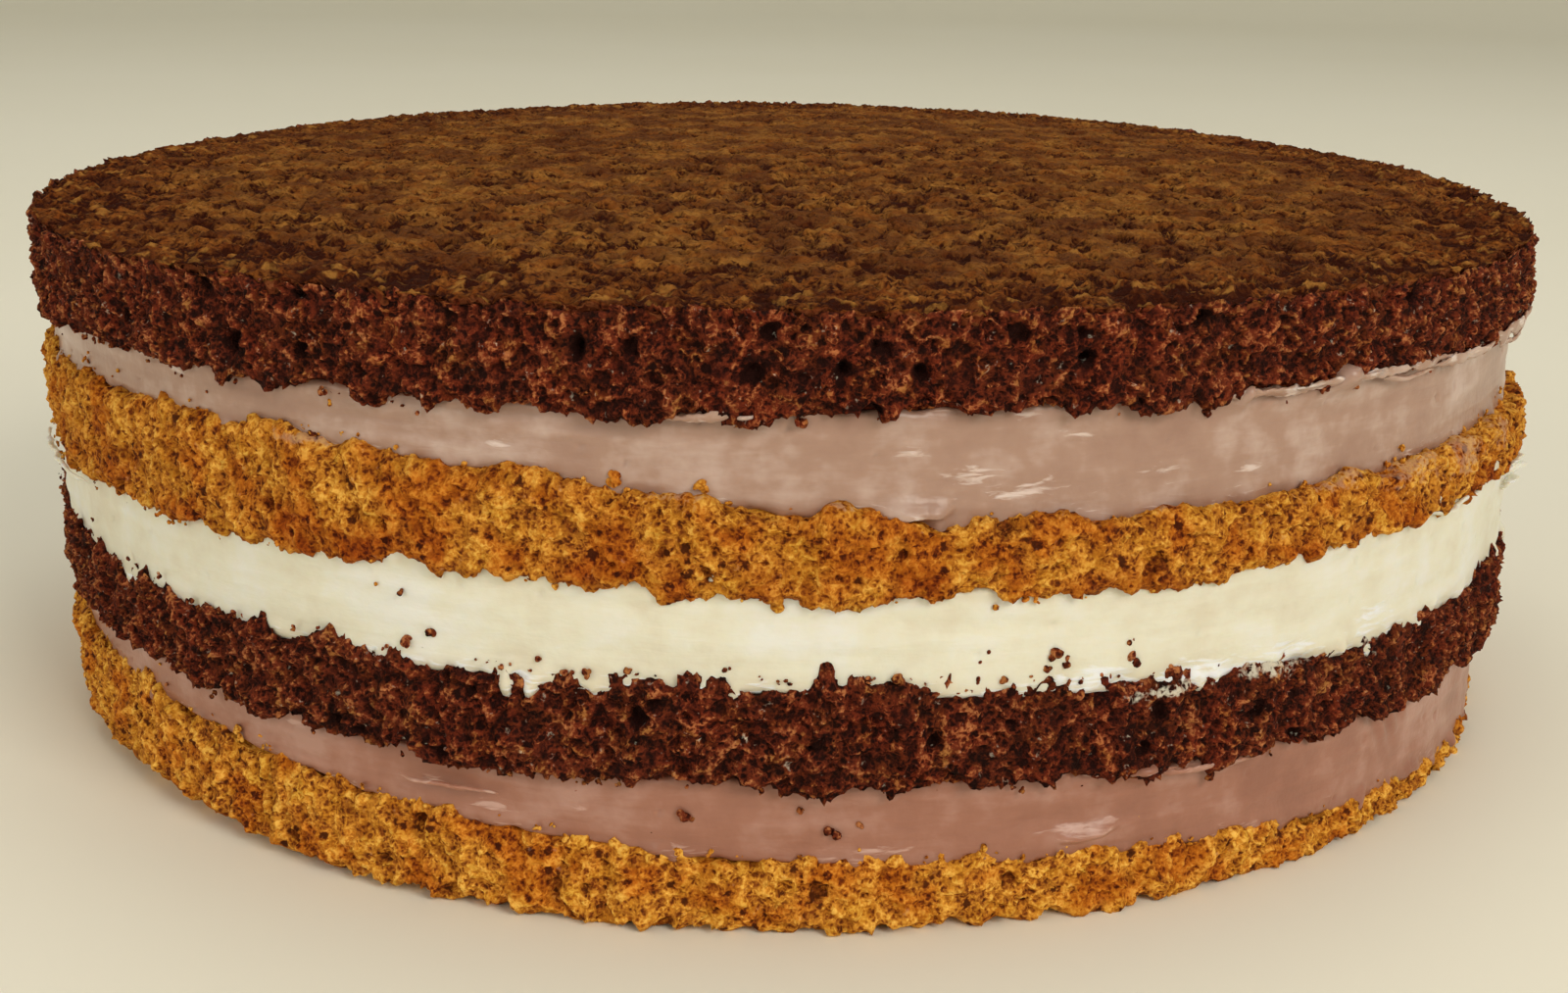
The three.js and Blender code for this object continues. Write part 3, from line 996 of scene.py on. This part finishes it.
class CAKE_OT_cocoa_sponges(bpy.types.Operator):
    """Build the two cocoa sponges"""

    bl_idname = "cake.cocoa_sponges"
    bl_label = "Cocoa sponges"

    def execute(self, context):
        sizes, colours = context.scene.cake_sizes, context.scene.cake_colours
        material = cocoa_material(colours)
        smears = [
            (24, 33.5, 6, 1.0, 0.8), (32, 34, 7, 1.3, 0.8), (41, 34.5, 6, 1.5, 0.8),
            (52, 35.5, 5, 1.0, 0.7), (-20, 38, 5, 0.6, 0.6), (-33, 39, 6, 0.6, 0.6),
        ]
        middle = torn_sponge(COCOA_MIDDLE, sizes, OPEN_CRUMB, smears=smears, ragged=1.35, furrow=(0.9, 3.4))
        belong(middle, material, COCOA_MIDDLE.slot, COCOA_MIDDLE.node)
        # Large holes cut into the top sponge's side, which the pore value also darkens with painted shade.
        holes = [
            (-35.3, 77.3, 1.1, 1.4), (-11.3, 81.7, 0.7, 1.5), (-37.7, 84.9, 0.9, 0.9),
            (-29.4, 85.7, 0.9, 0.7), (3.4, 80.2, 0.8, 0.8), (7.8, 79.5, 0.9, 0.9), (17.6, 80.8, 1.0, 1.0),
            (24.8, 85.4, 0.9, 0.8), (42.8, 84.6, 1.1, 1.1),
        ]
        top = torn_sponge(COCOA_TOP, sizes, OPEN_CRUMB, holes=holes)
        belong(top, material, COCOA_TOP.slot, COCOA_TOP.node)
        return {"FINISHED"}


class CAKE_OT_baked_skin(bpy.types.Operator):
    """Build the baked skin of the top"""

    bl_idname = "cake.baked_skin"
    bl_label = "Baked skin"

    def execute(self, context):
        material = skin_material(context.scene.cake_colours)
        for back in (False, True):
            skin = baked_skin(context.scene.cake_sizes, back)
            belong(skin, material, COCOA_TOP.slot, COCOA_TOP.node)
        return {"FINISHED"}


class CAKE_OT_cocoa_creams(bpy.types.Operator):
    """Build the two cocoa creams and their torn curls"""

    bl_idname = "cake.cocoa_creams"
    bl_label = "Cocoa creams"

    def execute(self, context):
        sizes, colours = context.scene.cake_sizes, context.scene.cake_colours
        upper = cream_material("Spread_upper_cocoa_cream", colours, "cocoa_cream", gloss=0.33)
        lips = [
            (30, 73, 4, 1.3), (37, 73, 4, 1.3), (46, 73, 5, 1.3, 0.9), (57, 73, 5, 1.5, 0.9),
            (-2, 75, 4, 1.2, 0.7), (8, 61, 5, 1.2, 0.6),
        ]
        # Whiter torn streaks with painted glints on them; the ones from -25 to -2 degrees are painted glints
        # alone.
        torn_marks_and_glints = [
            (7.4, 68.7, 3, 0.8), (11, 65.5, 4, 1.4), (15, 63, 7, 1.6), (14, 72.8, 2, 0.6),
            (17.2, 70.4, 3, 0.8), (-25, 72, 5, 1), (-16.7, 68, 2, 0.7), (-13.8, 64, 2, 0.7), (-2, 75, 4, 1),
            (23, 64.5, 3, 0.8), (30, 63, 3, 0.8), (-42, 71, 3, 1),
        ]
        cream = spread_cream(COCOA_UPPER, sizes, lips, torn_marks_and_glints)
        belong(cream, upper, COCOA_UPPER.slot, COCOA_UPPER.node)
        curls = [
            (27, 36, 0.2, 0.6, 1.5, 20), (32, 41, 0.5, 1.2, 1.6, 35), (38, 50, 0.3, 1.2, 1.7, 25),
            (46, 60, -0.3, 1.4, 2.2, 20), (55, 74, 0.1, 1.6, 2.6, 15), (-8, -1, 0.3, 0.6, 1.2, 30),
            (41, 47, -1.0, 0.9, 0.9, 40), (60, 70, -2.2, 0.9, 1.4, 30), (110, 150, 0.2, 0.8, 1.5, 25),
            (-150, -120, 0.2, 0.8, 1.5, 25),
        ]
        curled = cream_curls("cream_cocoa_upper_curls", COCOA_UPPER, UNDER_TOP, curls, 200)
        belong(curled, upper, COCOA_UPPER.slot, COCOA_UPPER.node)
        # The same cocoa cream, with painted shade and painted pink reflected light in its colours.
        lower = cream_material("Spread_lower_cocoa_cream", colours, "lower_cream", gloss=0.36)
        lips = [(23, 20.5, 4, 1.1, 0.8), (28, 20.2, 3, 1.1, 0.8), (19, 13, 6, 1, 0.5)]
        # Whiter torn streaks with painted glints on them.
        torn_marks_and_glints = [
            (-22, 18, 4, 0.9), (-18, 15.8, 4, 1), (19, 13.6, 8, 1), (25, 20.3, 6, 0.8), (-12, 17, 2, 0.7),
            (6, 12.5, 5, 0.8), (-33, 22, 3, 0.8),
        ]
        folds = [(47, 20, 6, 6, 1.2)]
        cream = spread_cream(COCOA_LOWER, sizes, lips, torn_marks_and_glints, folds)
        belong(cream, lower, COCOA_LOWER.slot, COCOA_LOWER.node)
        curls = [
            (19, 26, 0.0, 1.0, 1.1, 35), (24, 32, -0.3, 1.2, 1.3, 30), (-24, -17, -3.5, 0.1, 0.8, 40),
            (150, 180, 0.0, 0.8, 1.3, 30),
        ]
        curled = cream_curls("cream_cocoa_lower_curls", COCOA_LOWER, UNDER_COCOA, curls, 300)
        belong(curled, lower, COCOA_LOWER.slot, COCOA_LOWER.node)
        return {"FINISHED"}


class CAKE_OT_vanilla_cream(bpy.types.Operator):
    """Build the vanilla cream and its torn curls"""

    bl_idname = "cake.vanilla_cream"
    bl_label = "Vanilla cream"

    def execute(self, context):
        sizes, colours = context.scene.cake_sizes, context.scene.cake_colours
        material = cream_material("Spread_vanilla_cream", colours, "vanilla", gloss=0.4)
        lips = [(24, 35.5, 5, 1, 0.4), (33, 35.5, 5, 1, 0.4), (76, 48.5, 2, 1), (72, 44.5, 2, 1)]
        # Whiter torn streaks with painted glints on them.
        torn_marks_and_glints = [(19, 37, 6, 1.5), (26, 35.5, 6, 2), (33, 36, 6, 2), (42, 37, 6, 2)]
        belong(spread_cream(VANILLA, sizes, lips, torn_marks_and_glints), material, VANILLA.slot, VANILLA.node)
        curls = [
            (63, 78, -1.2, 1.2, 3.0, 70), (66, 76, -5.0, 1.2, 2.6, 75), (46, 58, -0.4, 0.5, 1.3, 50),
            (-70, -55, -0.6, 0.6, 1.5, 50),
        ]
        curled = cream_curls("cream_vanilla_curls", VANILLA, UNDER_GOLDEN, curls, 400)
        belong(curled, material, VANILLA.slot, VANILLA.node)
        return {"FINISHED"}


class CAKE_OT_crumbs(bpy.types.Operator):
    """Build the crumbs that cling to the sides"""

    bl_idname = "cake.crumbs"
    bl_label = "Clinging crumbs"

    def execute(self, context):
        colours = context.scene.cake_colours
        on_vanilla, on_lower, on_upper = VANILLA.radius, COCOA_LOWER.radius, COCOA_UPPER.radius
        # Crumbs with a place of their own: bearing, height, distance out and size
        cocoa = [
            (12.5, 41.6, on_vanilla, 1.3), (14.9, 40.2, on_vanilla, 1.5), (16.2, 38.4, on_vanilla, 1.4),
            (16.8, 40.4, on_vanilla, 2.4), (17.3, 39.0, on_vanilla, 1.7), (22.1, 38.4, on_vanilla, 2.5),
            (21.6, 41.1, on_vanilla, 1.6), (23.5, 42.7, on_vanilla, 0.9), (19.4, 36.6, on_vanilla, 1.8),
            (20.4, 36.2, on_vanilla, 1.5), (-23.1, 46.0, on_vanilla, 1.1), (-21.2, 40.3, on_vanilla, 1.5),
            (-5.4, 17.9, on_lower, 2.4), (-4.9, 17.3, on_lower, 1.6), (3.5, 15.5, on_lower, 2.6),
            (5.3, 16.4, on_lower, 1.2), (-41.4, 70.1, on_upper, 0.9), (26.3, 71.8, on_upper, 2.0),
            (28.4, 18.5, on_lower + 1, 2.2), (-29.5, 65.2, on_upper, 2.3), (-30.2, 64.6, on_upper, 1.5),
        ]
        # Scattered crumbs: level, distance out, count, seed, how far they stray, and whether above the level
        for scatter in (
            (UNDER_TOP, on_upper, 40, 5, 1.2, False),
            (OVER_COCOA, on_vanilla, 110, 6, 1.6, True),
            (UNDER_COCOA, on_lower, 50, 7, 1.4, False),
            (UNDER_TOP, on_upper + 0.8, 130, 21, 0.4, False),
            (OVER_COCOA, on_vanilla + 0.2, 220, 22, 0.5, True),
            (UNDER_COCOA, on_lower + 1, 130, 23, 0.4, False),
        ):
            cocoa += crumb_places(*scatter)
        belong(clinging_crumbs("crumbs_cocoa", cocoa, 8), cocoa_material(colours), COCOA_MIDDLE.slot)
        golden = [(-13.0, 49.4, on_vanilla, 1.0), (-9.5, 64.5, on_upper, 2.2), (-4.5, 63.8, on_upper, 2.0)]
        for scatter in (
            (OVER_GOLDEN, on_upper, 50, 15, 1.0, True),
            (UNDER_GOLDEN, on_vanilla, 30, 16, 1.0, False),
            (OVER_BASE, on_lower, 60, 17, 1.0, True),
            (OVER_GOLDEN, on_upper + 0.3, 140, 31, 0.5, True),
            (UNDER_GOLDEN, on_vanilla + 0.6, 110, 32, 0.4, False),
            (OVER_BASE, on_lower + 0.3, 160, 33, 0.5, True),
        ):
            golden += crumb_places(*scatter)
        material = golden_material("Golden_crumbs", colours)
        belong(clinging_crumbs("crumbs_golden", golden, 18), material, GOLDEN_BASE.slot)
        return {"FINISHED"}


# The stage, in metres
STAGE_RADIUS = 2.2  # how far the floor reaches before it sweeps up
SWEEP_RADIUS = 0.8
STAGE_HEIGHT = 2.2
SWEEP_STEPS = 10
STAGE_COLUMNS = 64
LIGHT_TARGET = (0, 0, 0.05)
LIGHTS = (  # name, place, size, power in watts, colour
    ("key", (0.9, -1.3, 1.0), 0.8, 16.5, "FFF8EC"),
    ("fill", (-1.1, -1.2, 0.55), 1.2, 7, "FFFAF0"),
    ("overhead", (0.0, 0.4, 1.7), 1.4, 8, "FFFBF2"),
)
ROOM_COLOUR = "F4F2EA"
ROOM_STRENGTH = 0.4


def area_light(name, place, size, power, colour):
    """A square soft light that points at the cake. Places are in metres, power in watts."""
    data = bpy.data.lights.new(name, "AREA")
    data.shape = "SQUARE"
    data.size = size
    data.energy = power
    data.color = srgb(colour)
    light = bpy.data.objects.new(name, data)
    aim = (Vector(LIGHT_TARGET) - Vector(place)).to_track_quat("-Z", "Y").to_matrix().to_4x4()
    light.matrix_world = Matrix.Translation(place) @ aim
    bpy.context.scene.collection.objects.link(light)


# The photograph's view, from the cake's rim and side outlines in it: place in metres, angles in degrees
SENSOR_WIDTH = 36.0  # mm
CAMERA_PLACE = (0.0, -0.390, 0.137)
CAMERA_LENS = 48.47  # mm
CAMERA_PITCH = 15.85
CAMERA_YAW = 0.15
CAMERA_ROLL = 0.97


def add_floor():
    """A round floor whose edge sweeps up, so that every view has the same plain ground."""
    shape = bmesh.new()
    outline = [(0.0, 0.0), (STAGE_RADIUS, 0.0)]
    for step in range(1, SWEEP_STEPS + 1):
        angle = math.pi / 2 * step / SWEEP_STEPS
        outline.append((STAGE_RADIUS + SWEEP_RADIUS * math.sin(angle), SWEEP_RADIUS * (1 - math.cos(angle))))
    outline.append((STAGE_RADIUS + SWEEP_RADIUS, STAGE_HEIGHT))
    verts = [shape.verts.new((x, 0, z)) for x, z in outline]
    edges = [shape.edges.new(pair) for pair in zip(verts, verts[1:])]
    bmesh.ops.spin(
        shape, geom=verts + edges, cent=(0, 0, 0), axis=(0, 0, 1), dvec=(0, 0, 0), angle=2 * math.pi,
        steps=STAGE_COLUMNS, use_merge=True, use_duplicate=False,
    )
    bmesh.ops.remove_doubles(shape, verts=shape.verts, dist=1e-5)
    bmesh.ops.recalc_face_normals(shape, faces=shape.faces)
    bmesh.ops.reverse_faces(shape, faces=shape.faces)
    floor = finished("floor", shape)
    floor.data.materials.append(floor_material())


def add_camera():
    """The camera at the photograph's viewing angle."""
    pitch, yaw, roll = (math.radians(a) for a in (CAMERA_PITCH, CAMERA_YAW, CAMERA_ROLL))
    turn = Matrix.Rotation(-yaw, 4, "Z") @ Matrix.Rotation(math.pi / 2 - pitch, 4, "X")
    data = bpy.data.cameras.new("camera")
    data.lens = CAMERA_LENS
    data.sensor_width = SENSOR_WIDTH
    data.clip_start = 0.01
    data.clip_end = 50.0
    camera = bpy.data.objects.new("camera", data)
    camera.matrix_world = Matrix.Translation(CAMERA_PLACE) @ turn @ Matrix.Rotation(roll, 4, "Z")
    bpy.context.scene.collection.objects.link(camera)
    bpy.context.scene.camera = camera


class CAKE_OT_stage(bpy.types.Operator):
    """Build the floor, the lights and the camera"""

    bl_idname = "cake.stage"
    bl_label = "Stage"

    def execute(self, context):
        add_floor()
        add_camera()
        for light in LIGHTS:
            area_light(*light)
        world = bpy.data.worlds.new("soft_room")
        world.use_nodes = True
        background = world.node_tree.nodes["Background"]
        background.inputs["Color"].default_value = (*srgb(ROOM_COLOUR), 1)
        background.inputs["Strength"].default_value = ROOM_STRENGTH
        context.scene.world = world
        context.scene.view_settings.view_transform = "Standard"
        context.scene.view_settings.look = "None"
        return {"FINISHED"}


OPERATORS = (
    CAKE_OT_stage,
    CAKE_OT_golden_sponges,
    CAKE_OT_cocoa_sponges,
    CAKE_OT_baked_skin,
    CAKE_OT_cocoa_creams,
    CAKE_OT_vanilla_cream,
    CAKE_OT_crumbs,
)


class CAKE_PT_panel(bpy.types.Panel):
    """Lists the cake's builders"""

    bl_idname = "CAKE_PT_panel"
    bl_label = "Layer Cake"
    bl_space_type = "VIEW_3D"
    bl_region_type = "UI"
    bl_category = "Cake"

    def draw(self, context):
        for operator in OPERATORS:
            self.layout.operator(operator.bl_idname)


CLASSES = (CakeSizes, CakeColours, *OPERATORS, CAKE_PT_panel)


def register():
    for cls in CLASSES:
        bpy.utils.register_class(cls)
    bpy.types.Scene.cake_sizes = PointerProperty(type=CakeSizes)
    bpy.types.Scene.cake_colours = PointerProperty(type=CakeColours)


def unregister():
    del bpy.types.Scene.cake_colours
    del bpy.types.Scene.cake_sizes
    for cls in reversed(CLASSES):
        bpy.utils.unregister_class(cls)


def main():
    """Builds the whole scene."""
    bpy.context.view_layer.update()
    register()
    bpy.ops.cake.stage()
    bpy.ops.cake.golden_sponges()
    bpy.ops.cake.cocoa_sponges()
    bpy.ops.cake.baked_skin()
    bpy.ops.cake.cocoa_creams()
    bpy.ops.cake.vanilla_cream()
    bpy.ops.cake.crumbs()


if __name__ == "__main__":
    main()
